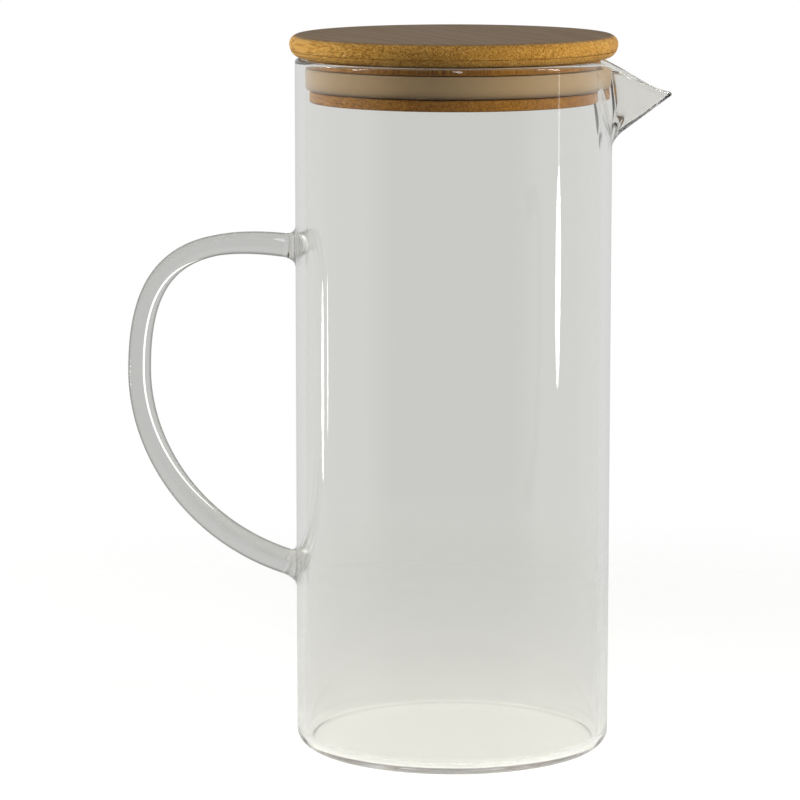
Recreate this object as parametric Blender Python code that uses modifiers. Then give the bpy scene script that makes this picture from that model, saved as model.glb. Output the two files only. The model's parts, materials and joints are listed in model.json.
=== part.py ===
# Water carafe: clear cylinder with a drawn spout, bent rod handle, bamboo stopper lid with a seal.
# Metres, +Z up. The origin is the middle of the base, the spout is at +X and the handle at -X.

import math

import bmesh
import bpy
from mathutils import Vector

# Fits
GAP = 0.0003
MERGE = 0.00001

# Jug body
BODY_RADIUS = 0.0500
BODY_HEIGHT = 0.2200
WALL = 0.0030
FLOOR = 0.0025
BASE_CORNER = 0.0045
INNER_CORNER = 0.0030
BODY_STEPS = 96
BORE_RADIUS = BODY_RADIUS - WALL

# Spout, drawn out of the wall at +X as two flat sides that meet in a keel
SPOUT_HALF_ANGLE = math.radians(19.0)
SPOUT_REACH = 0.0237
SPOUT_DROP = 0.0125
SPOUT_DEPTH = 0.0287
SPOUT_WALL = 0.0014
SPOUT_THINNING = 0.0160
SPOUT_THINNING_LEAD = 0.0060
SPOUT_BLEND = 0.0032
SPOUT_SIDE_BLEND = 0.0085
SPOUT_SIDE_TURN = math.radians(7.0)
SPOUT_LIP_EASE = 0.15
SPOUT_KEEL_SOFTNESS = math.radians(1.8)
SPOUT_CROWDING = 0.5
SPOUT_ROWS = 9
SPOUT_ZONE = SPOUT_DEPTH + 2.25 * SPOUT_BLEND

# Beads that join the rod's ends to the wall
WELD_LENGTH = 0.0036
WELD_FLARE = 0.0026
WELD_RINGS = 6
WELD_SIDES = 24

# Handle rod: heights above the base and distances out from the wall of its middle line
HANDLE_UPPER_HEIGHT = 0.1607
HANDLE_UPPER_LEAD = 0.0369
HANDLE_UPPER_RISE = 0.0039
HANDLE_UPPER_BOW = 0.0324
HANDLE_WIDEST_HEIGHT = 0.1203
HANDLE_REACH = 0.0498
HANDLE_LOWER_BOW = 0.0253
HANDLE_LOWER_LEAD = 0.0328
HANDLE_LOWER_RISE = 0.0100
HANDLE_LOWER_HEIGHT = 0.0588
HANDLE_UPPER_RADIUS = 0.0032
HANDLE_LOWER_RADIUS = 0.0041
HANDLE_END_SWELL = 0.0006
HANDLE_SWELL_SHARE = 0.125
HANDLE_ARC_POINTS = 16

# Lid disc, two boards one above the other
LID_OVERHANG = 0.0017
LID_RADIUS = BODY_RADIUS + LID_OVERHANG
LID_THICKNESS = 0.0071
LID_SEAM_HEIGHT = 0.0023
LID_UPPER_ROUND = 0.0029
LID_LOWER_ROUND = 0.0036
LID_STEPS = 64

# Seal and plug below the rim
SEAL_TOP = 0.0026
SEAL_HEIGHT = 0.0070
SEAL_SECTION = 0.0036
SEAL_EDGE = 0.0008
PLUG_CLEARANCE = 0.0016
PLUG_LAND_CLEARANCE = 0.0008
PLUG_EDGE = 0.0006
FLANGE_HEIGHT = 0.0035
PLUG_DEPTH = SEAL_TOP + SEAL_HEIGHT + GAP + FLANGE_HEIGHT


def clear_scene():
    for obj in list(bpy.data.objects):
        bpy.data.objects.remove(obj)


def make_collection(name):
    collection = bpy.data.collections.new(name)
    bpy.context.scene.collection.children.link(collection)
    return collection


def make_material(name, colour, roughness, transmission, ior):
    material = bpy.data.materials.new(name)
    material.use_nodes = True
    shader = material.node_tree.nodes["Principled BSDF"]
    shader.inputs["Base Color"].default_value = (*colour, 1.0)
    shader.inputs["Roughness"].default_value = roughness
    shader.inputs["Transmission Weight"].default_value = transmission
    shader.inputs["IOR"].default_value = ior
    return material


def make_empty(name, height):
    empty = bpy.data.objects.new(name, None)
    empty.empty_display_size = 0.02
    empty.location = (0.0, 0.0, height)
    parts.objects.link(empty)
    return empty


def add_object(name, data, material, parent):
    obj = bpy.data.objects.new(name, data)
    obj.data.materials.append(material)
    obj.parent = parent
    parts.objects.link(obj)
    return obj


def arc(centre, radii, start, end, count):
    # Points of an ellipse's arc in the profile plane, angles in degrees from +X towards +Z
    angles = [math.radians(start + (end - start) * i / count) for i in range(count + 1)]
    return [(centre[0] + radii[0] * math.cos(a), centre[1] + radii[1] * math.sin(a)) for a in angles]


def turned(name, profile, steps, material, parent, closed=False):
    # Turns a profile of (radius, height) points round the Z axis
    count = len(profile)
    edges = [(i, i + 1) for i in range(count - 1)]
    if closed:
        edges.append((count - 1, 0))
    mesh = bpy.data.meshes.new(name)
    mesh.from_pydata([(r, 0.0, z) for r, z in profile], edges, [])
    obj = add_object(name, mesh, material, parent)
    screw = obj.modifiers.new("Turn", "SCREW")
    screw.steps = steps
    screw.render_steps = steps
    screw.use_merge_vertices = True
    screw.merge_threshold = MERGE
    return obj


def smooth_max(a, b, blend):
    # The larger of two values, rounded where they are closer than blend
    near = max(blend - abs(a - b), 0.0) / blend
    return max(a, b) + near * near * blend / 4.0


def spout_side():
    # Unit normal and offset of the flat spout side at +Y, through rim, tip and keel foot
    rim = Vector((math.cos(SPOUT_HALF_ANGLE), math.sin(SPOUT_HALF_ANGLE), 0.0)) * BODY_RADIUS
    rim.z = BODY_HEIGHT
    tip = Vector((BODY_RADIUS + SPOUT_REACH, 0.0, BODY_HEIGHT - SPOUT_DROP))
    foot = Vector((BODY_RADIUS, 0.0, BODY_HEIGHT - SPOUT_DEPTH))
    normal = (foot - rim).cross(tip - rim).normalized()
    if normal.x < 0.0:
        normal.negate()
    return normal, normal.dot(rim), rim, tip - rim


def spout_lip(plane, turn):
    # Height of the lip at a turn from the keel: it falls along a slanted plane from the rim to the tip
    rim, edge = plane[2:]
    across = edge.x * math.sin(turn) - edge.y * math.cos(turn)
    along = (rim.y * math.cos(turn) - rim.x * math.sin(turn)) / across
    outer = spout_wall(plane, turn, 0.0, BODY_HEIGHT - SPOUT_DROP * max(along, 0.0))[0]
    along = (outer * math.cos(turn) - rim.x) / edge.x
    return BODY_HEIGHT - SPOUT_DROP * smooth_max(along, 0.0, SPOUT_LIP_EASE)


def spout_wall(plane, turn, sharpness, height):
    # Outer radius of the wall, how far it leans out, and its thickness, which thins as it is drawn out
    normal, offset = plane[:2]
    spread = normal.x * math.cos(turn) + normal.y * math.sin(turn)
    flat = (offset - normal.z * height) / spread
    drawn = flat - BODY_RADIUS
    side = min(turn / SPOUT_SIDE_TURN, 1.0)
    blend = SPOUT_BLEND + (SPOUT_SIDE_BLEND - SPOUT_BLEND) * side * side * (3.0 - 2.0 * side)
    share = min(max(0.5 + drawn / (2.0 * blend), 0.0), 1.0)
    lean = math.atan(-normal.z / spread * share)
    thin = min(max((drawn + SPOUT_THINNING_LEAD) / SPOUT_THINNING, 0.0), 1.0)
    thin = thin * thin * (3.0 - 2.0 * thin)
    skew = math.hypot(normal.x, normal.y) / spread - 1.0
    thickness = (WALL + (SPOUT_WALL - WALL) * thin) * (1.0 + thin * skew * sharpness)
    return smooth_max(BODY_RADIUS, flat, blend), lean, thickness


def spout_point(plane, angle, radius, z):
    # Where a point of the plain wall goes: on the drawn wall, or on the half round of its lip
    low = BODY_HEIGHT - SPOUT_ZONE
    shoulder = BODY_HEIGHT - WALL / 2.0
    turn = math.hypot(angle, SPOUT_KEEL_SOFTNESS)
    sharpness = (angle / turn) ** 2
    lip = spout_lip(plane, turn)
    outer, lean, thickness = spout_wall(plane, turn, sharpness, lip)
    top = lip - thickness / 2.0 * (1.0 + math.sin(lean))
    height = low + min((z - low) / (shoulder - low), 1.0) * (top - low)
    outer, lean, thickness = spout_wall(plane, turn, sharpness, height)
    out = (radius - BODY_RADIUS) / WALL * thickness
    up = max(z - shoulder, 0.0) / WALL * thickness
    return (
        outer + out * math.cos(lean) + up * math.sin(lean),
        height - out * math.sin(lean) + up * math.cos(lean),
    )


def draw_spout(mesh):
    # Crowds the turned wall's columns towards +X, then moves the points there out and down to the lip
    plane = spout_side()
    reach = math.atan2(plane[0].y, plane[0].x)
    for vertex in mesh.vertices:
        x, y, z = vertex.co
        radius = math.hypot(x, y)
        angle = math.atan2(y, x)
        angle -= SPOUT_CROWDING * math.sin(angle)
        if z > BODY_HEIGHT - SPOUT_ZONE and abs(angle) < reach:
            radius, z = spout_point(plane, angle, radius, z)
        vertex.co = (radius * math.cos(angle), radius * math.sin(angle), z)


def make_body(material, parent):
    low = BODY_HEIGHT - SPOUT_ZONE
    shoulder = BODY_HEIGHT - WALL / 2.0
    rows = [low + (shoulder - low) * i / SPOUT_ROWS for i in range(SPOUT_ROWS)]
    inside = BORE_RADIUS - INNER_CORNER
    profile = [(0.0, FLOOR)]
    profile += arc((inside, FLOOR + INNER_CORNER), (INNER_CORNER, INNER_CORNER), -90, 0, 3)
    profile += [(BORE_RADIUS, z) for z in rows]
    profile += arc((BORE_RADIUS + WALL / 2.0, shoulder), (WALL / 2.0, WALL / 2.0), 180, 0, 6)
    profile += [(BODY_RADIUS, z) for z in reversed(rows)]
    profile += arc((BODY_RADIUS - BASE_CORNER, BASE_CORNER), (BASE_CORNER, BASE_CORNER), 0, -90, 5)
    profile += [(0.0, 0.0)]
    obj = turned("jug_body", profile, BODY_STEPS, material, parent)
    graph = bpy.context.evaluated_depsgraph_get()
    mesh = bpy.data.meshes.new_from_object(obj.evaluated_get(graph))
    mesh.name = "jug_body"
    draw_spout(mesh)
    obj.modifiers.clear()
    obj.data = mesh
    return obj


def out_from_wall(distance, height):
    return Vector((-BODY_RADIUS - distance, 0.0, height))


def handle_arcs():
    # Control points of the rod's upper and lower cubic arcs, from end to end
    upper = (
        out_from_wall(WELD_LENGTH, HANDLE_UPPER_HEIGHT),
        out_from_wall(HANDLE_UPPER_LEAD, HANDLE_UPPER_HEIGHT + HANDLE_UPPER_RISE),
        out_from_wall(HANDLE_REACH, HANDLE_WIDEST_HEIGHT + HANDLE_UPPER_BOW),
        out_from_wall(HANDLE_REACH, HANDLE_WIDEST_HEIGHT),
    )
    lower = (
        upper[3],
        out_from_wall(HANDLE_REACH, HANDLE_WIDEST_HEIGHT - HANDLE_LOWER_BOW),
        out_from_wall(HANDLE_LOWER_LEAD, HANDLE_LOWER_HEIGHT + HANDLE_LOWER_RISE),
        out_from_wall(WELD_LENGTH, HANDLE_LOWER_HEIGHT),
    )
    return upper, lower


def cubic(points, t):
    weights = ((1 - t) ** 3, 3 * t * (1 - t) ** 2, 3 * t * t * (1 - t), t ** 3)
    return sum((w * p for w, p in zip(weights, points)), Vector())


def rod_radius(share):
    # Radius at a share of the way from the rod's upper end, which swells towards its bead
    swell = HANDLE_END_SWELL * max(1.0 - share / HANDLE_SWELL_SHARE, 0.0)
    return HANDLE_UPPER_RADIUS + (HANDLE_LOWER_RADIUS - HANDLE_UPPER_RADIUS) * share + swell


def make_handle(material, parent):
    upper, lower = handle_arcs()
    steps = [i / HANDLE_ARC_POINTS for i in range(HANDLE_ARC_POINTS + 1)]
    line = [cubic(upper, t) for t in steps]
    line += [cubic(lower, t) for t in steps[1:]]
    curve = bpy.data.curves.new("handle_rod", "CURVE")
    curve.dimensions = "3D"
    curve.bevel_depth = 1.0
    curve.bevel_resolution = 4
    curve.use_fill_caps = True
    spline = curve.splines.new("POLY")
    spline.points.add(len(line) - 1)
    for i, point in enumerate(line):
        spline.points[i].co = (*point, 1.0)
        spline.points[i].radius = rod_radius(i / (len(line) - 1))
    return add_object("handle_rod", curve, material, parent)


def on_wall(y, z):
    # The point just off the body's outer wall on the handle's side
    radius = BODY_RADIUS + GAP
    return Vector((-math.sqrt(radius * radius - y * y), y, z))


def make_weld(name, rod_end, before_end, end_radius, material, parent):
    # Lofts rings from the rod's end face to a wider foot that follows the wall
    tangent = (rod_end - before_end).normalized()
    face = rod_end + GAP * tangent
    foot_height = face.z + tangent.z / tangent.x * (-BODY_RADIUS - face.x)
    upright = Vector((-tangent.z, 0.0, tangent.x))
    turns = [2.0 * math.pi * i / WELD_SIDES for i in range(WELD_SIDES)]
    rings = []
    for k in range(WELD_RINGS + 1):
        share = k / WELD_RINGS
        radius = end_radius + WELD_FLARE * (1.0 - math.sqrt(1.0 - share * share))
        ring = []
        for turn in turns:
            across = radius * math.cos(turn)
            up = radius * math.sin(turn)
            start = face + Vector((0.0, across, 0.0)) + upright * up
            ring.append(start.lerp(on_wall(across, foot_height + up), share))
        rings.append(ring)
    for share in (0.66, 0.33):
        reach = (end_radius + WELD_FLARE) * share
        rings.append([on_wall(reach * math.cos(t), foot_height + reach * math.sin(t)) for t in turns])
    shape = bmesh.new()
    loops = [[shape.verts.new(point) for point in ring] for ring in rings]
    for first, second in zip(loops, loops[1:]):
        for i in range(WELD_SIDES):
            j = (i + 1) % WELD_SIDES
            shape.faces.new((first[i], first[j], second[j], second[i]))
    ends = ((loops[0], face), (loops[-1], on_wall(0.0, foot_height)))
    for loop, middle in ends:
        centre = shape.verts.new(middle)
        for i in range(WELD_SIDES):
            shape.faces.new((loop[i], loop[(i + 1) % WELD_SIDES], centre))
    bmesh.ops.recalc_face_normals(shape, faces=shape.faces)
    mesh = bpy.data.meshes.new(name)
    shape.to_mesh(mesh)
    shape.free()
    return add_object(name, mesh, material, parent)


def make_lid(material, parent):
    # Heights are measured from the rim. The disc's edge is one round, split at the seam.
    base = GAP
    top = base + LID_THICKNESS
    widest = top - LID_UPPER_ROUND
    lower_rise = widest - base
    seam_low = base + LID_SEAM_HEIGHT - GAP / 2.0
    seam_high = base + LID_SEAM_HEIGHT + GAP / 2.0
    upper_round = (LID_UPPER_ROUND, LID_UPPER_ROUND)
    lower_round = (LID_LOWER_ROUND, lower_rise)
    upper_centre = (LID_RADIUS - LID_UPPER_ROUND, widest)
    lower_centre = (LID_RADIUS - LID_LOWER_ROUND, widest)
    high_angle = -math.degrees(math.asin((widest - seam_high) / lower_rise))
    low_angle = -math.degrees(math.asin((widest - seam_low) / lower_rise))
    board = [(0.0, top)]
    board += arc(upper_centre, upper_round, 90, 0, 5)
    board += arc(lower_centre, lower_round, 0, high_angle, 2)[1:]
    board += [(0.0, seam_high)]
    turned("lid_top_board", board, LID_STEPS, material, parent)
    board = [(0.0, seam_low)]
    board += arc(lower_centre, lower_round, low_angle, -90, 4)
    board += [(0.0, base)]
    turned("lid_under_board", board, LID_STEPS, material, parent)


def make_plug(material, parent):
    flange = BORE_RADIUS - PLUG_CLEARANCE
    land = BORE_RADIUS - PLUG_LAND_CLEARANCE
    neck = BORE_RADIUS - SEAL_SECTION - 2.0 * GAP
    groove_top = -SEAL_TOP + GAP
    groove_low = -SEAL_TOP - SEAL_HEIGHT - GAP
    profile = [
        (0.0, 0.0),
        (land, 0.0),
        (land, groove_top),
        (neck, groove_top),
        (neck, groove_low),
        (flange - PLUG_EDGE / 2.0, groove_low),
        (flange, groove_low - PLUG_EDGE / 2.0),
    ]
    profile += arc((flange - PLUG_EDGE, -PLUG_DEPTH + PLUG_EDGE), (PLUG_EDGE, PLUG_EDGE), 0, -90, 3)
    profile += [(0.0, -PLUG_DEPTH)]
    turned("lid_plug", profile, LID_STEPS, material, parent)


def make_seal(material, parent):
    outer = BORE_RADIUS - GAP
    inner = outer - SEAL_SECTION
    low = -SEAL_TOP - SEAL_HEIGHT
    round_edge = (SEAL_EDGE, SEAL_EDGE)
    profile = [(inner, -SEAL_TOP)]
    profile += arc((outer - SEAL_EDGE, -SEAL_TOP - SEAL_EDGE), round_edge, 90, 0, 3)
    profile += arc((outer - SEAL_EDGE, low + SEAL_EDGE), round_edge, 0, -90, 3)
    profile += [(inner, low)]
    turned("seal_ring", profile, LID_STEPS, material, parent, closed=True)


clear_scene()
parts = make_collection("water_carafe")
carafe = make_empty("carafe", 0.0)
lid = make_empty("lid", BODY_HEIGHT)
lid.parent = carafe

acrylic = make_material("clear_acrylic", (0.96, 0.98, 0.97), 0.02, 1.0, 1.49)
handle_acrylic = make_material("handle_acrylic", (0.95, 0.97, 0.97), 0.02, 1.0, 1.49)
weld_acrylic = make_material("weld_acrylic", (0.93, 0.96, 0.96), 0.05, 1.0, 1.49)
bamboo = make_material("bamboo_board", (0.50, 0.30, 0.11), 0.50, 0.0, 1.45)
plug_bamboo = make_material("bamboo_plug", (0.55, 0.33, 0.13), 0.55, 0.0, 1.45)
silicone = make_material("seal_silicone", (0.80, 0.75, 0.68), 0.35, 0.5, 1.41)

make_body(acrylic, carafe)
make_handle(handle_acrylic, carafe)
upper_arc, lower_arc = handle_arcs()
make_weld("upper_handle_weld", upper_arc[0], upper_arc[1], rod_radius(0.0), weld_acrylic, carafe)
make_weld("lower_handle_weld", lower_arc[3], lower_arc[2], rod_radius(1.0), weld_acrylic, carafe)
make_lid(bamboo, lid)
make_plug(plug_bamboo, lid)
make_seal(silicone, lid)
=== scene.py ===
import json
import math

import bmesh
import bpy
from mathutils import Matrix, Vector

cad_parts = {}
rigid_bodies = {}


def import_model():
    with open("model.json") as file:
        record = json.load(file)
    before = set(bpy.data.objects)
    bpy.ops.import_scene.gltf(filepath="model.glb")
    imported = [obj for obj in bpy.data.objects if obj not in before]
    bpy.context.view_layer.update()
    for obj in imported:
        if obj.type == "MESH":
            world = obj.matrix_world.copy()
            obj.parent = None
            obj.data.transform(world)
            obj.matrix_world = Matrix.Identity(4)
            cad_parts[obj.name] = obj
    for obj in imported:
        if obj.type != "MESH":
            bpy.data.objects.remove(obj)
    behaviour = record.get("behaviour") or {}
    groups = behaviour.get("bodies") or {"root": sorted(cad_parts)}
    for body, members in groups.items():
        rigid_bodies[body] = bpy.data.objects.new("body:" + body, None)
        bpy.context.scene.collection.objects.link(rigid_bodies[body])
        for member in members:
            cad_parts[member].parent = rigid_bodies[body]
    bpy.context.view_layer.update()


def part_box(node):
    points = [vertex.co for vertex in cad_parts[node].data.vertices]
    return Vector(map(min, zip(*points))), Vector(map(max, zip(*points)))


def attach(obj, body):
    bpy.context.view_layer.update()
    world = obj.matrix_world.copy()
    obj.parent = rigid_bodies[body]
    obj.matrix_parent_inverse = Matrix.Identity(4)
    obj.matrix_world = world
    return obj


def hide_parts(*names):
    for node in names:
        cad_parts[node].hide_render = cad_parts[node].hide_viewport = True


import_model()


# Shader maths on sockets, written as plain expressions
class Wire:
    def __init__(self, tree, socket):
        self.tree = tree
        self.socket = socket

    # Another output of the same node
    def also(self, name):
        return Wire(self.tree, self.socket.node.outputs[name])

    def maths(self, operation, *values):
        node = self.tree.nodes.new("ShaderNodeMath")
        node.operation = operation
        for slot, value in zip(node.inputs, values):
            if isinstance(value, Wire):
                self.tree.links.new(value.socket, slot)
            else:
                slot.default_value = value
        return Wire(self.tree, node.outputs[0])

    def __add__(self, other):
        return self.maths("ADD", self, other)

    def __sub__(self, other):
        return self.maths("SUBTRACT", self, other)

    def __rsub__(self, other):
        return self.maths("SUBTRACT", other, self)

    def __mul__(self, other):
        return self.maths("MULTIPLY", self, other)

    __radd__ = __add__
    __rmul__ = __mul__


# One node tree: node() adds any node from its kind, its settings and its sockets
class Shading:
    def __init__(self, tree):
        self.tree = tree
        tree.nodes.clear()

    def node(self, kind, settings=None, sockets=None, out=0):
        node = self.tree.nodes.new("ShaderNode" + kind)
        for name, value in (settings or {}).items():
            setattr(node, name, value)
        for name, value in (sockets or {}).items():
            if isinstance(value, Wire):
                self.tree.links.new(value.socket, node.inputs[name])
            else:
                node.inputs[name].default_value = value
        return Wire(self.tree, node.outputs[out]) if node.outputs else None

    # Object coordinates, turned about Z and stretched for a pattern
    def place(self, stretch, turn=0.0):
        coords = self.node("TexCoord", out="Object")
        if turn:
            about = {"Vector": coords, "Angle": turn}
            coords = self.node("VectorRotate", {"rotation_type": "Z_AXIS"}, about)
        return self.node("Mapping", {}, {"Vector": coords, "Scale": stretch})

    # 0 below low, 1 above high, eased between
    def ramp(self, value, low, high):
        sockets = {"Value": value, "From Min": low, "From Max": high}
        return self.node("MapRange", {"interpolation_type": "SMOOTHSTEP"}, sockets)

    def blend(self, share, first, second, mode="MIX"):
        settings = {"data_type": "RGBA", "blend_type": mode}
        return self.node("Mix", settings, {0: share, 6: first, 7: second}, out=2)


def rgb(red, green, blue):
    return (red, green, blue, 1.0)


def newFinish(name):
    material = bpy.data.materials.new(name)
    material.use_nodes = True
    return material, Shading(material.node_tree)


def arcPoints(centre, radii, start, end, count):
    turns = [math.radians(start + (end - start) * i / count) for i in range(count + 1)]
    return [(centre[0] + radii[0] * math.cos(t), centre[1] + radii[1] * math.sin(t)) for t in turns]


# Turns a profile of (radius, height) points all the way round the axis
def spinProfile(profile, steps, closed=False):
    shape = bmesh.new()
    verts = [shape.verts.new((r, 0.0, z)) for r, z in profile]
    pairs = list(zip(verts, verts[1:]))
    if closed:
        pairs.append((verts[-1], verts[0]))
    edges = [shape.edges.new(pair) for pair in pairs]
    bmesh.ops.spin(
        shape,
        geom=verts + edges,
        cent=(0.0, 0.0, 0.0),
        axis=(0.0, 0.0, 1.0),
        dvec=(0.0, 0.0, 0.0),
        angle=2.0 * math.pi,
        steps=steps,
        use_merge=True,
    )
    bmesh.ops.remove_doubles(shape, verts=shape.verts, dist=1e-6)
    bmesh.ops.recalc_face_normals(shape, faces=shape.faces)
    return shape


# Joins a row of rings into a solid bar with closed ends
def joinRings(shape, rings):
    loops = [list({e for v in ring for e in v.link_edges}) for ring in rings]
    for first, second in zip(loops, loops[1:]):
        bmesh.ops.bridge_loops(shape, edges=first + second)
    bmesh.ops.holes_fill(shape, edges=loops[0] + loops[-1], sides=0)
    bmesh.ops.recalc_face_normals(shape, faces=shape.faces)


sharpAngle = math.radians(50.0)
# Width of the ring beside a rounded corner, which keeps the flat's shading flat
cornerRing = 0.001


def addPiece(name, shape, material, body, node):
    mesh = bpy.data.meshes.new(name)
    shape.to_mesh(mesh)
    shape.free()
    mesh.shade_smooth()
    mesh.set_sharp_from_angle(angle=sharpAngle)
    mesh.materials.append(material)
    piece = bpy.data.objects.new(name, mesh)
    bpy.context.scene.collection.objects.link(piece)
    piece.modifiers.new("evenShade", "WEIGHTED_NORMAL").keep_sharp = True
    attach(piece, body)
    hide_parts(node)
    print("piece", name, len(mesh.polygons), "faces")


# Camera at the photograph's viewing angle
cameraView = {
    "place": (-0.016878, -1.241019, 0.307351),
    "tilt": 8.99295,
    "lens": 177.337,
    "sensor": 36.0,
}


def addCamera():
    data = bpy.data.cameras.new("camera")
    data.lens = cameraView["lens"]
    data.sensor_width = cameraView["sensor"]
    camera = bpy.data.objects.new("camera", data)
    camera.location = cameraView["place"]
    camera.rotation_euler = (math.radians(90.0 - cameraView["tilt"]), 0.0, 0.0)
    bpy.context.scene.collection.objects.link(camera)
    bpy.context.scene.camera = camera


# Clear acrylic, in three finishes: drawn tube, bent rod and fused bead
acrylic = {
    "ior": 1.49,
    # Painted shade: dark colour for the rod's and beads' edges
    "paintedEdgeShade": rgb(0.10, 0.09, 0.075),
    "paintedEdgeBand": (0.30, 0.72),
    "smearStretch": (38.0, 38.0, 16.0),
    "smearBand": (0.5, 0.75),
}
clearLooks = {
    "tube": {
        "tint": rgb(0.945, 0.945, 0.925),
        "roughness": 0.008,
        "smudge": 0.02,
        "waves": (60.0, 60.0, 9.0),
        "waveHeight": 0.00002,
        "paintedEdgeShare": 0.0,
    },
    # Painted shade: the rod's and beads' tints are far greyer than the tube's, though all are the same
    # acrylic
    "rod": {
        "tint": rgb(0.74, 0.74, 0.72),
        "roughness": 0.008,
        "smudge": 0.02,
        "waveHeight": 0.0,
        "paintedEdgeShare": 0.9,
    },
    "bead": {
        "tint": rgb(0.77, 0.77, 0.75),
        "roughness": 0.02,
        "smudge": 0.04,
        "waves": (260.0, 260.0, 260.0),
        "waveHeight": 0.00005,
        "paintedEdgeShare": 0.3,
    },
}


def clearFinish(name):
    look = clearLooks[name]
    material, s = newFinish("clear" + name.capitalize())
    place = s.place(acrylic["smearStretch"])
    smears = s.node("TexNoise", {}, {"Vector": place, "Scale": 1.0, "Detail": 5.0})
    smudge = s.ramp(smears, *acrylic["smearBand"])
    sockets = {
        "Base Color": look["tint"],
        "Roughness": smudge * look["smudge"] + look["roughness"],
        "IOR": acrylic["ior"],
        "Transmission Weight": 1.0,
    }
    # Painted shade: the base colour darkens towards grazing edges by facing angle
    if look["paintedEdgeShare"]:
        facing = s.node("LayerWeight", {}, {"Blend": 0.5}, out="Facing")
        edge = s.ramp(facing, *acrylic["paintedEdgeBand"]) * look["paintedEdgeShare"]
        sockets["Base Color"] = s.blend(edge, look["tint"], acrylic["paintedEdgeShade"])
    if look["waveHeight"]:
        waves = s.node("TexNoise", {}, {"Vector": s.place(look["waves"]), "Scale": 1.0, "Detail": 2.0})
        bump = {"Strength": 1.0, "Distance": look["waveHeight"], "Height": waves}
        sockets["Normal"] = s.node("Bump", {}, bump)
    glass = s.node("BsdfPrincipled", {}, sockets)
    letThrough = s.node("BsdfTransparent", {}, {"Color": look["tint"]})
    fromLamp = s.node("LightPath", out="Is Shadow Ray")
    surface = s.node("MixShader", {}, {0: fromLamp, 1: glass, 2: letThrough})
    s.node("OutputMaterial", {}, {"Surface": surface})
    return material


# Jug: a drawn tube with a flat floor, a round rim and a V spout pulled out at +X
jug = {
    "wall": 0.0030,
    "floor": 0.0025,
    "baseCorner": 0.0045,
    "innerCorner": 0.0030,
    "columns": 352,
    "wallRows": 80,
}
spout = {
    "halfAngle": math.radians(19.0),
    "reach": 0.02369,
    "drop": 0.0125,
    "depth": 0.0287,
    "zone": 0.0359,
    "wall": 0.0014,
    "thinning": 0.0160,
    "thinningLead": 0.0060,
    "blend": 0.0032,
    "sideBlend": 0.0085,
    "sideTurn": math.radians(7.0),
    "lipEase": 0.15,
    "keelSoftness": math.radians(1.8),
    "crowding": 0.85,
}
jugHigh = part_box("jug_body")[1]
jugRadius = jugHigh.y
rimHeight = jugHigh.z
boreRadius = jugRadius - jug["wall"]


def roundedMax(first, second, blend):
    near = max(blend - abs(first - second), 0.0) / blend
    return max(first, second) + near * near * blend / 4.0


# The flat spout side at +Y, through the rim, the tip and the foot of the keel
def spoutSide():
    rim = Vector((math.cos(spout["halfAngle"]), math.sin(spout["halfAngle"]), 0.0)) * jugRadius
    rim.z = rimHeight
    tip = Vector((jugRadius + spout["reach"], 0.0, rimHeight - spout["drop"]))
    foot = Vector((jugRadius, 0.0, rimHeight - spout["depth"]))
    normal = (foot - rim).cross(tip - rim).normalized()
    normal *= math.copysign(1.0, normal.x)
    return {"normal": normal, "offset": normal.dot(rim), "rim": rim, "edge": tip - rim}


# The lip falls along a slanted plane from the rim to the tip
def lipHeight(plane, turn):
    rim = plane["rim"]
    edge = plane["edge"]
    across = edge.x * math.sin(turn) - edge.y * math.cos(turn)
    along = (rim.y * math.cos(turn) - rim.x * math.sin(turn)) / across
    outer = spoutWall(plane, turn, 0.0, rimHeight - spout["drop"] * max(along, 0.0))[0]
    along = (outer * math.cos(turn) - rim.x) / edge.x
    return rimHeight - spout["drop"] * roundedMax(along, 0.0, spout["lipEase"])


# Outer radius of the wall, how far it leans out, and its thickness, which thins as it is drawn out
def spoutWall(plane, turn, sharpness, height):
    normal = plane["normal"]
    spread = normal.x * math.cos(turn) + normal.y * math.sin(turn)
    flat = (plane["offset"] - normal.z * height) / spread
    drawn = flat - jugRadius
    side = min(turn / spout["sideTurn"], 1.0)
    blend = spout["blend"] + (spout["sideBlend"] - spout["blend"]) * side * side * (3.0 - 2.0 * side)
    share = min(max(0.5 + drawn / (2.0 * blend), 0.0), 1.0)
    lean = math.atan(-normal.z / spread * share)
    thin = min(max((drawn + spout["thinningLead"]) / spout["thinning"], 0.0), 1.0)
    thin = thin * thin * (3.0 - 2.0 * thin)
    skew = math.hypot(normal.x, normal.y) / spread - 1.0
    thickness = jug["wall"] + (spout["wall"] - jug["wall"]) * thin
    thickness *= 1.0 + thin * skew * sharpness
    return roundedMax(jugRadius, flat, blend), lean, thickness


# Where a point of the plain wall goes: on the drawn wall, or on the half round of its lip
def spoutPoint(plane, angle, radius, z):
    low = rimHeight - spout["zone"]
    shoulder = rimHeight - jug["wall"] / 2.0
    turn = math.hypot(angle, spout["keelSoftness"])
    sharpness = (angle / turn) ** 2
    lip = lipHeight(plane, turn)
    outer, lean, thickness = spoutWall(plane, turn, sharpness, lip)
    top = lip - thickness / 2.0 * (1.0 + math.sin(lean))
    height = low + min((z - low) / (shoulder - low), 1.0) * (top - low)
    outer, lean, thickness = spoutWall(plane, turn, sharpness, height)
    out = (radius - jugRadius) / jug["wall"] * thickness
    up = max(z - shoulder, 0.0) / jug["wall"] * thickness
    radius = outer + out * math.cos(lean) + up * math.sin(lean)
    return radius, height - out * math.sin(lean) + up * math.cos(lean)


# Crowds the wall's columns towards +X, then moves the points there out and down to the lip
def pullSpout(shape):
    plane = spoutSide()
    reach = math.atan2(plane["normal"].y, plane["normal"].x)
    for vert in shape.verts:
        x, y, z = vert.co
        radius = math.hypot(x, y)
        angle = math.atan2(y, x)
        angle -= spout["crowding"] * math.sin(angle)
        if z > rimHeight - spout["zone"] and abs(angle) < reach:
            radius, z = spoutPoint(plane, angle, radius, z)
        vert.co = (radius * math.cos(angle), radius * math.sin(angle), z)


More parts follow.
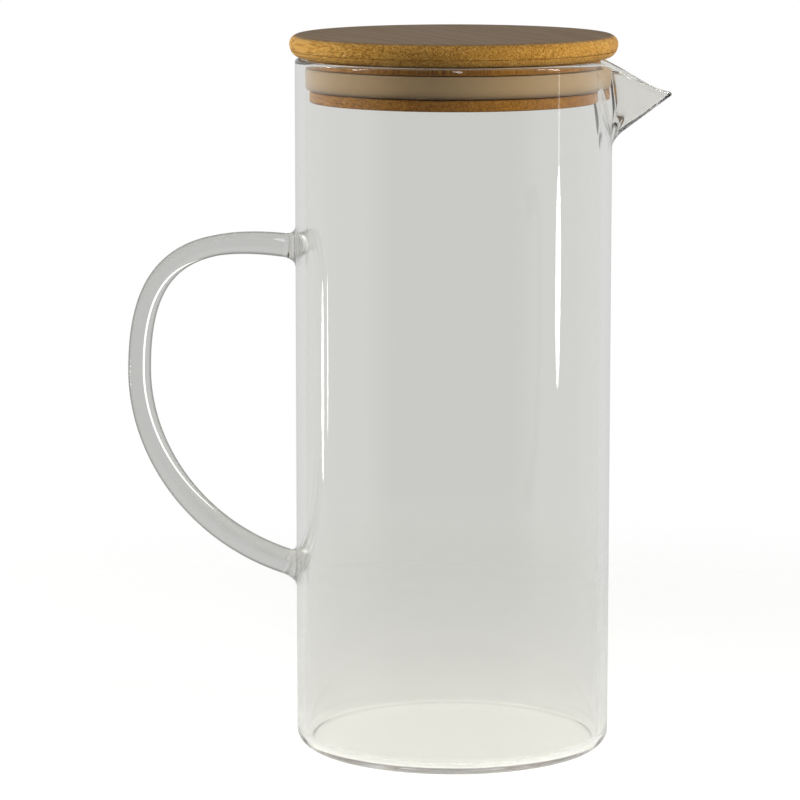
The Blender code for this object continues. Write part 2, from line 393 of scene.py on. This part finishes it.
def makeJug():
    low = rimHeight - spout["zone"]
    lip = jug["wall"] / 2.0
    shoulder = rimHeight - lip
    rows = [low + (shoulder - low) * i / jug["wallRows"] for i in range(jug["wallRows"])]
    corner = jug["innerCorner"]
    baseCorner = jug["baseCorner"]
    profile = [(0.0, jug["floor"]), (boreRadius - corner - cornerRing, jug["floor"])]
    profile += arcPoints((boreRadius - corner, jug["floor"] + corner), (corner, corner), -90, 0, 12)
    profile += [(boreRadius, jug["floor"] + corner + cornerRing)]
    profile += [(boreRadius, z) for z in rows]
    profile += arcPoints((boreRadius + lip, shoulder), (lip, lip), 180, 0, 16)
    profile += [(jugRadius, z) for z in reversed(rows)]
    profile += [(jugRadius, baseCorner + cornerRing)]
    profile += arcPoints((jugRadius - baseCorner, baseCorner), (baseCorner, baseCorner), 0, -90, 14)
    profile += [(jugRadius - baseCorner - cornerRing, 0.0), (0.0, 0.0)]
    shape = spinProfile(profile, jug["columns"])
    pullSpout(shape)
    addPiece("jugTube", shape, clearFinish("tube"), "carafe", "jug_body")


# Handle: a bent rod on two cubic arcs, as distances out from the wall and heights
handle = {
    "gap": 0.00002,
    "beadFlare": 0.0026,
    "upper": ((0.0036, 0.1607), (0.0369, 0.1646), (0.0498, 0.1527), (0.0498, 0.1203)),
    "lower": ((0.0498, 0.1203), (0.0498, 0.0950), (0.0328, 0.0688), (0.0036, 0.0588)),
    "upperRadius": 0.0032,
    "lowerRadius": 0.0041,
    "swell": 0.0006,
    "swellShare": 0.125,
    "stations": 240,
    "sides": 96,
    "beadRings": 14,
    "footRings": (0.7, 0.4, 0.1),
}


def onArc(points, t):
    shares = ((1 - t) ** 3, 3 * t * (1 - t) ** 2, 3 * t * t * (1 - t), t ** 3)
    out = sum(w * p[0] for w, p in zip(shares, points))
    height = sum(w * p[1] for w, p in zip(shares, points))
    return Vector((-jugRadius - out, 0.0, height))


def rodLine():
    count = handle["stations"]
    steps = [i / count for i in range(count + 1)]
    line = [onArc(handle["upper"], t) for t in steps]
    return line + [onArc(handle["lower"], t) for t in steps[1:]]


def rodRadius(share):
    swell = handle["swell"] * max(1.0 - share / handle["swellShare"], 0.0)
    return handle["upperRadius"] + (handle["lowerRadius"] - handle["upperRadius"]) * share + swell


# A ring across the direction of travel, which lies in the XZ plane
def addRing(shape, centre, along, radius):
    turn = Matrix((along.cross(Vector((0.0, 1.0, 0.0))), (0.0, 1.0, 0.0), along)).transposed().to_4x4()
    place = Matrix.Translation(centre) @ turn
    return bmesh.ops.create_circle(shape, segments=handle["sides"], radius=radius, matrix=place)["verts"]


def makeRod():
    line = rodLine()
    last = len(line) - 1
    shape = bmesh.new()
    rings = []
    for i, point in enumerate(line):
        along = (line[min(i + 1, last)] - line[max(i - 1, 0)]).normalized()
        rings.append(addRing(shape, point, along, rodRadius(i / last)))
    joinRings(shape, rings)
    addPiece("handleRod", shape, clearFinish("rod"), "carafe", "handle_rod")


# A bead flares from the rod's end to a foot that follows the jug's wall
def makeBead(name, node, end, before, radius, material):
    along = (end - before).normalized()
    face = end + handle["gap"] * along
    footHeight = face.z + along.z / along.x * (-jugRadius - face.x)
    upright = along.cross(Vector((0.0, 1.0, 0.0)))
    wall = jugRadius + handle["gap"]
    shares = [k / handle["beadRings"] for k in range(handle["beadRings"] + 1)]
    flare = handle["beadFlare"]
    sizes = [(share, radius + flare * (1.0 - math.sqrt(1.0 - share * share))) for share in shares]
    sizes += [(1.0, (radius + flare) * shrink) for shrink in handle["footRings"]]
    shape = bmesh.new()
    rings = []
    for share, size in sizes:
        ring = addRing(shape, face, along, size)
        for vert in ring:
            up = (vert.co - face).dot(upright) * math.copysign(1.0, upright.z)
            across = vert.co.y
            touch = Vector((-math.sqrt(wall * wall - across * across), across, footHeight + up))
            vert.co = vert.co.lerp(touch, share)
        rings.append(ring)
    joinRings(shape, rings)
    addPiece(name, shape, material, "carafe", node)


def makeHandle():
    makeRod()
    line = rodLine()
    material = clearFinish("bead")
    makeBead("upperBead", "upper_handle_weld", line[0], line[1], rodRadius(0.0), material)
    makeBead("lowerBead", "lower_handle_weld", line[-1], line[-2], rodRadius(1.0), material)


# Bamboo: strips of fibres that run along Y, so the lid's front shows their cut ends
bamboo = {
    "stripWidth": 0.0187,
    "stripShift": 0.37,
    "grainTurn": math.radians(-22.0),
    "pale": rgb(0.55, 0.315, 0.076),
    "mid": rgb(0.42, 0.200, 0.031),
    "fibre": rgb(0.26, 0.110, 0.015),
    "bundle": rgb(0.12, 0.047, 0.007),
    # Painted highlight: colour of the golden glint specks on the fibres
    "paintedGlint": rgb(0.74, 0.485, 0.15),
    "glue": rgb(0.20, 0.090, 0.018),
    # Painted shade and grey painted sheen for the lid's top face
    "face": rgb(0.19, 0.132, 0.078),
    "roughness": 0.50,
    "gloss": 0.12,
    "fibreStretch": (1300.0, 16.0, 1300.0),
    "bundleStretch": (1500.0, 10.0, 1500.0),
    "paintedGlintStretch": (2100.0, 30.0, 2100.0),
    "cloudStretch": (90.0, 14.0, 160.0),
    "seamBand": (0.488, 0.498),
    "fibreBand": (0.42, 0.66),
    "bundleBand": (0.20, 0.46),
    "cloudBand": (0.10, 0.55),
    "paintedGlintBand": (0.56, 0.70),
    "paintedGlintShare": 0.6,
    "fibreShare": 0.55,
    "bundleShare": 0.65,
    "seamShare": 0.4,
    "paintedTopShadeShare": 0.85,
    "faceDepth": (0.0007, 0.0001),
    "faceSeamLoss": 0.7,
    "toneShare": 0.5,
    "fibreRelief": 0.35,
    "bundleRelief": 0.5,
    "seamRelief": 0.4,
    "reliefDepth": 0.00006,
    "fibreRoughness": 0.12,
    "specular": 0.12,
    "coatRoughness": 0.45,
}


def bambooFinish(name, faceHeight, shift, paintedShade=None):
    material, s = newFinish(name)
    turn = bamboo["grainTurn"]
    x = s.node("SeparateXYZ", {}, {0: s.place((1.0, 1.0, 1.0), turn)})
    across = x * (1.0 / bamboo["stripWidth"]) + (bamboo["stripShift"] + shift)
    number = across.maths("FLOOR", across)
    seam = across.maths("FRACT", across) - 0.5
    seam = s.ramp(seam.maths("ABSOLUTE", seam), *bamboo["seamBand"])
    tone = s.node("TexWhiteNoise", {"noise_dimensions": "1D"}, {"W": number + 0.5})
    pattern = {}
    for part, detail in (("fibre", 3.0), ("paintedGlint", 1.0), ("cloud", 2.0)):
        place = s.place(bamboo[part + "Stretch"], turn)
        pattern[part] = s.node("TexNoise", {}, {"Vector": place, "Scale": 1.0, "Detail": detail})
    cells = s.node("TexVoronoi", {}, {"Vector": s.place(bamboo["bundleStretch"], turn), "Scale": 1.0})
    streaks = s.ramp(pattern["fibre"], *bamboo["fibreBand"])
    bundles = (1.0 - s.ramp(cells, *bamboo["bundleBand"])) * s.ramp(pattern["cloud"], *bamboo["cloudBand"])
    share = bamboo["toneShare"]
    colour = s.blend(tone * share + pattern["cloud"] * (1.0 - share), bamboo["pale"], bamboo["mid"])
    # Painted highlight: golden glint specks scattered over the bamboo
    paintedGlints = s.ramp(pattern["paintedGlint"], *bamboo["paintedGlintBand"])
    colour = s.blend(paintedGlints * bamboo["paintedGlintShare"], colour, bamboo["paintedGlint"])
    colour = s.blend(streaks * bamboo["fibreShare"], colour, bamboo["fibre"])
    colour = s.blend(bundles * bamboo["bundleShare"], colour, bamboo["bundle"])
    seamShade = seam * bamboo["seamShare"]
    gloss = bamboo["gloss"]
    if faceHeight is not None:
        deep, shallow = bamboo["faceDepth"]
        # Painted shade and grey painted sheen: the top face is blended towards the darker, greyer face
        # colour
        face = s.ramp(x.also("Z"), faceHeight - deep, faceHeight - shallow)
        colour = s.blend(face * bamboo["paintedTopShadeShare"], colour, bamboo["face"])
        seamShade = seamShade * (1.0 - face * bamboo["faceSeamLoss"])
        gloss = (1.0 - face) * gloss
    colour = s.blend(seamShade, colour, bamboo["glue"])
    # Painted shade: a darker copy of the bamboo, for the plug under the lid and behind the glass
    if paintedShade:
        colour = s.blend(1.0, colour, paintedShade, "MULTIPLY")
    relief = streaks * bamboo["fibreRelief"] + bundles * bamboo["bundleRelief"]
    relief = relief + seam * bamboo["seamRelief"]
    bump = s.node("Bump", {"invert": True}, {
        "Strength": 0.5,
        "Distance": bamboo["reliefDepth"],
        "Height": relief,
    })
    wood = s.node("BsdfPrincipled", {}, {
        "Base Color": colour,
        "Roughness": streaks * bamboo["fibreRoughness"] + bamboo["roughness"],
        "Specular IOR Level": bamboo["specular"],
        "Coat Weight": gloss,
        "Coat Roughness": bamboo["coatRoughness"],
        "Normal": bump,
    })
    s.node("OutputMaterial", {}, {"Surface": wood})
    return material


# Lid: two boards glued one on the other, a plug in the bore, and a seal in the plug's groove
lid = {
    "upperRound": 0.0029,
    "lowerRound": 0.0036,
    "seamGap": 0.00005,
    "seamEase": 0.00010,
    "steps": 192,
}
plug = {
    "clearance": 0.0016,
    "landClearance": 0.0008,
    "edge": 0.0006,
    "sealTop": 0.0026,
    "sealHeight": 0.0070,
    "sealSection": 0.0036,
    "sealGap": 0.0003,
    # Painted shade that darkens the plug's bamboo
    "paintedShade": rgb(0.64, 0.54, 0.39),
}
sealRing = {
    "topRound": 0.0007,
    "lowRound": 0.0016,
    "colour": rgb(0.365, 0.250, 0.132),
    # Painted shade colour: the seal darkens towards it near its bottom, and its cloudy mottling mixes in a
    # little of it
    "paintedShade": rgb(0.240, 0.163, 0.088),
    "roughness": 0.42,
    "ior": 1.41,
    "cloudStretch": (120.0, 120.0, 300.0),
    "grainStretch": (2600.0, 2600.0, 2600.0),
    "grainDepth": 0.00003,
    "paintedBottomShadeShare": 0.8,
    "cloudShare": 0.2,
    "cloudRoughness": 0.1,
}


def makeBoards():
    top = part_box("lid_top_board")[1]
    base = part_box("lid_under_board")[0].z
    seam = (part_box("lid_top_board")[0].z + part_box("lid_under_board")[1].z) / 2.0
    seamHigh = seam + lid["seamGap"] / 2.0
    seamLow = seam - lid["seamGap"] / 2.0
    radius = top.y
    widest = top.z - lid["upperRound"]
    rise = widest - base
    upperCentre = (radius - lid["upperRound"], widest)
    lowerCentre = (radius - lid["lowerRound"], widest)
    highAngle = -math.degrees(math.asin((widest - seamHigh - lid["seamEase"]) / rise))
    lowAngle = -math.degrees(math.asin((widest - seamLow + lid["seamEase"]) / rise))
    profile = [(0.0, top.z), (radius - lid["upperRound"] - cornerRing, top.z)]
    profile += arcPoints(upperCentre, (lid["upperRound"], lid["upperRound"]), 90, 0, 14)
    profile += arcPoints(lowerCentre, (lid["lowerRound"], rise), 0, highAngle, 8)[1:]
    profile += [(profile[-1][0] - lid["seamEase"], seamHigh), (0.0, seamHigh)]
    shape = spinProfile(profile, lid["steps"])
    material = bambooFinish("bambooTop", top.z, 0.0)
    addPiece("lidTop", shape, material, "lid", "lid_top_board")
    edge = arcPoints(lowerCentre, (lid["lowerRound"], rise), lowAngle, -90, 12)
    profile = [(0.0, seamLow), (edge[0][0] - lid["seamEase"], seamLow)] + edge
    profile += [(edge[-1][0] - cornerRing, base), (0.0, base)]
    shape = spinProfile(profile, lid["steps"])
    material = bambooFinish("bambooUnder", None, 0.43)
    addPiece("lidUnder", shape, material, "lid", "lid_under_board")


def makePlug():
    low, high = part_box("lid_plug")
    flange = boreRadius - plug["clearance"]
    land = boreRadius - plug["landClearance"]
    neck = boreRadius - plug["sealSection"] - 2.0 * plug["sealGap"]
    edge = plug["edge"]
    grooveTop = rimHeight - plug["sealTop"] + plug["sealGap"]
    grooveLow = rimHeight - plug["sealTop"] - plug["sealHeight"] - plug["sealGap"]
    profile = [(0.0, high.z), (land, high.z)]
    profile += [(land, grooveTop), (neck, grooveTop), (neck, grooveLow)]
    profile += arcPoints((flange - edge, grooveLow - edge), (edge, edge), 90, 0, 6)
    profile += arcPoints((flange - edge, low.z + edge), (edge, edge), 0, -90, 6)
    profile += [(0.0, low.z)]
    shape = spinProfile(profile, lid["steps"])
    material = bambooFinish("bambooPlug", None, 0.18, plug["paintedShade"])
    addPiece("lidPlug", shape, material, "lid", "lid_plug")


def sealFinish(low, high):
    material, s = newFinish("softSeal")
    split = s.node("SeparateXYZ", {}, {0: s.node("TexCoord", out="Object")})
    height = split.also("Z")
    clouds = s.place(sealRing["cloudStretch"])
    cloud = s.node("TexNoise", {}, {"Vector": clouds, "Scale": 1.0, "Detail": 4.0})
    grain = s.node("TexNoise", {}, {"Vector": s.place(sealRing["grainStretch"]), "Scale": 1.0})
    # Painted shade: darker towards the seal's bottom, plus cloudy mottling
    lower = 1.0 - s.ramp(height, low, low + 0.5 * (high - low))
    share = lower * sealRing["paintedBottomShadeShare"] + cloud * sealRing["cloudShare"]
    colour = s.blend(share, sealRing["colour"], sealRing["paintedShade"])
    bump = s.node("Bump", {}, {"Strength": 0.3, "Distance": sealRing["grainDepth"], "Height": grain})
    soft = s.node("BsdfPrincipled", {}, {
        "Base Color": colour,
        "Roughness": cloud * sealRing["cloudRoughness"] + sealRing["roughness"],
        "IOR": sealRing["ior"],
        "Normal": bump,
    })
    s.node("OutputMaterial", {}, {"Surface": soft})
    return material


def makeSeal():
    low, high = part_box("seal_ring")
    outer = high.y
    inner = outer - plug["sealSection"]
    topRound = sealRing["topRound"]
    lowRound = sealRing["lowRound"]
    profile = [(inner, high.z)]
    profile += arcPoints((outer - topRound, high.z - topRound), (topRound, topRound), 90, 0, 8)
    profile += arcPoints((outer - lowRound, low.z + lowRound), (lowRound, lowRound), 0, -90, 12)
    profile += [(inner, low.z)]
    shape = spinProfile(profile, lid["steps"], closed=True)
    addPiece("sealRing", shape, sealFinish(low.z, high.z), "seal", "seal_ring")


# Studio: a pale floor, a white surround, pale panels for clear and glossy surfaces, and lamps
studio = {
    "floorRadius": 0.45,
    "floorFade": (0.12, 0.42),
    "floorDrop": 0.0003,
    "floorColour": rgb(0.55, 0.55, 0.53),
    "floorGlow": 0.50,
    "nearFloor": 0.24,
    "ambient": 0.11,
    "behind": 0.75,
    "ahead": 0.13,
    "front": 0.05,
    "shineBack": 0.62,
    "aboveBand": (0.40, 0.85),
    "aboveDrop": 0.4,
    "aheadBand": (-0.75, -0.2),
    "backBand": (-0.3, 0.6),
    "lampAim": (0.0, 0.0, 0.12),
    "bounces": 160,
    "clearBounces": 24,
}
lamps = {
    "leftStripA": {"turn": -108.5, "reach": 0.95, "height": -0.020, "size": (0.050, 0.11), "power": 0.16},
    "leftStripB": {"turn": -102.5, "reach": 0.95, "height": -0.005, "size": (0.018, 0.09), "power": 0.04},
    "rightStrip": {"turn": 79.0, "reach": 0.95, "height": 0.040, "size": (0.085, 0.12), "power": 0.28},
    "rightGlow": {"turn": 79.0, "reach": 0.95, "height": 0.100, "size": (0.030, 0.13), "power": 0.03},
    "leftGlintA": {"turn": -114.0, "reach": 1.0, "height": 0.90, "size": (0.08, 0.90), "power": 3.4},
    "leftGlintB": {"turn": -78.0, "reach": 1.0, "height": 0.90, "size": (0.10, 0.90), "power": 4.2},
    "rightGlint": {"turn": 81.0, "reach": 1.0, "height": 0.90, "size": (0.12, 0.90), "power": 5.2},
    "frontGlint": {"turn": 3.0, "reach": 1.3, "height": 1.30, "size": (0.12, 1.6), "power": 4.0},
    "leftFill": {"turn": -95.0, "reach": 1.1, "height": 0.40, "size": (0.50, 0.40), "power": 16.0},
    "rightFill": {"turn": 71.0, "reach": 1.1, "height": 0.40, "size": (0.50, 0.40), "power": 15.5},
    "frontStrip": {"turn": 3.0, "reach": 1.3, "height": 1.30, "size": (0.20, 1.6), "power": 3.6},
    "handleCard": {"turn": -126.0, "reach": 0.16, "height": 0.12, "size": (0.015, 0.26), "power": 0.0105},
}
# Fills that nothing mirrors, lamps linked to the jug alone, and a card that only the rod shows
unmirrored = ("leftFill", "rightFill")
linked = {
    "rightStrip": "jugTube",
    "rightGlow": "jugTube",
    "leftGlintA": "jugTube",
    "leftGlintB": "jugTube",
    "rightGlint": "jugTube",
    "frontGlint": "jugTube",
    "handleCard": "handleRod",
}


# Which rays see the surround: the camera's own, and the ones that clear or glossy surfaces bend on to it
def lookOn(s):
    camera = s.node("LightPath")
    fresh = 1.0 - camera.maths("MINIMUM", camera.also("Diffuse Depth"), 1.0)
    through = camera.also("Is Transmission Ray") * fresh
    mirrored = camera.also("Is Glossy Ray") * (1.0 - camera.also("Is Transmission Ray")) * fresh
    return camera, through, mirrored


def addFloor():
    shape = bmesh.new()
    bmesh.ops.create_circle(shape, cap_ends=True, segments=128, radius=studio["floorRadius"])
    mesh = bpy.data.meshes.new("floor")
    shape.to_mesh(mesh)
    shape.free()
    material, s = newFinish("paleFloor")
    camera, through, mirrored = lookOn(s)
    near = camera * studio["floorGlow"] + (through + mirrored) * studio["nearFloor"]
    cover = s.node("BsdfDiffuse", {}, {"Color": studio["floorColour"]})
    glow = s.node("Emission", {}, {"Strength": near})
    lit = s.node("AddShader", {}, {0: cover, 1: glow})
    away = s.node("VectorMath", {"operation": "LENGTH"}, {0: s.node("TexCoord", out="Object")}, out="Value")
    gone = s.node("BsdfTransparent")
    surface = s.node("MixShader", {}, {0: s.ramp(away, *studio["floorFade"]), 1: lit, 2: gone})
    s.node("OutputMaterial", {}, {"Surface": surface})
    mesh.materials.append(material)
    floor = bpy.data.objects.new("floor", mesh)
    floor.location.z = -studio["floorDrop"]
    bpy.context.scene.collection.objects.link(floor)


def addWorld():
    world = bpy.data.worlds.new("studioWorld")
    world.use_nodes = True
    bpy.context.scene.world = world
    s = Shading(world.node_tree)
    camera, through, mirrored = lookOn(s)
    side = s.node("SeparateXYZ", {}, {0: s.node("TexCoord", out="Generated")})
    above = s.ramp(side.also("Z"), *studio["aboveBand"])
    turned = camera.maths("MINIMUM", camera.also("Glossy Depth"), 1.0)
    ahead = 1.0 - s.ramp(side.also("Y"), *studio["aheadBand"])
    panels = turned * ahead * (studio["ahead"] - studio["behind"]) + studio["behind"]
    panels = panels * (1.0 - above * studio["aboveDrop"])
    back = s.ramp(side.also("Y"), *studio["backBand"])
    shine = back * (studio["shineBack"] - studio["front"]) + studio["front"]
    rest = 1.0 - camera - through - mirrored
    level = camera + through * panels + mirrored * shine + rest * studio["ambient"]
    sky = s.node("Background", {}, {"Color": rgb(1.0, 1.0, 1.0), "Strength": level})
    s.node("OutputWorld", {}, {"Surface": sky})


def addLamps():
    for name, lamp in lamps.items():
        data = bpy.data.lights.new(name, "AREA")
        data.shape = "ELLIPSE"
        data.size, data.size_y = lamp["size"]
        data.energy = lamp["power"]
        light = bpy.data.objects.new(name, data)
        turn = math.radians(lamp["turn"])
        place = Vector((math.sin(turn), -math.cos(turn), 0.0)) * lamp["reach"]
        place.z = lamp["height"]
        aim = Vector(studio["lampAim"])
        light.location = place
        light.rotation_euler = (aim - place).to_track_quat("-Z", "Y").to_euler()
        light.visible_camera = False
        light.visible_glossy = name not in unmirrored
        light.visible_transmission = linked.get(name) == "handleRod"
        bpy.context.scene.collection.objects.link(light)
        if name in linked:
            receivers = bpy.data.collections.new(name + "Receivers")
            receivers.objects.link(bpy.data.objects[linked[name]])
            light.light_linking.receiver_collection = receivers


def setView():
    scene = bpy.context.scene
    scene.view_settings.view_transform = "Standard"
    scene.cycles.max_bounces = studio["bounces"]
    scene.cycles.glossy_bounces = studio["bounces"]
    scene.cycles.transmission_bounces = studio["bounces"]
    scene.cycles.transparent_max_bounces = studio["clearBounces"]


addCamera()
setView()
addWorld()
addFloor()
print("surround ready")
makeJug()
makeHandle()
makeBoards()
makePlug()
makeSeal()
print("carafe ready")
addLamps()
print("lamps ready")
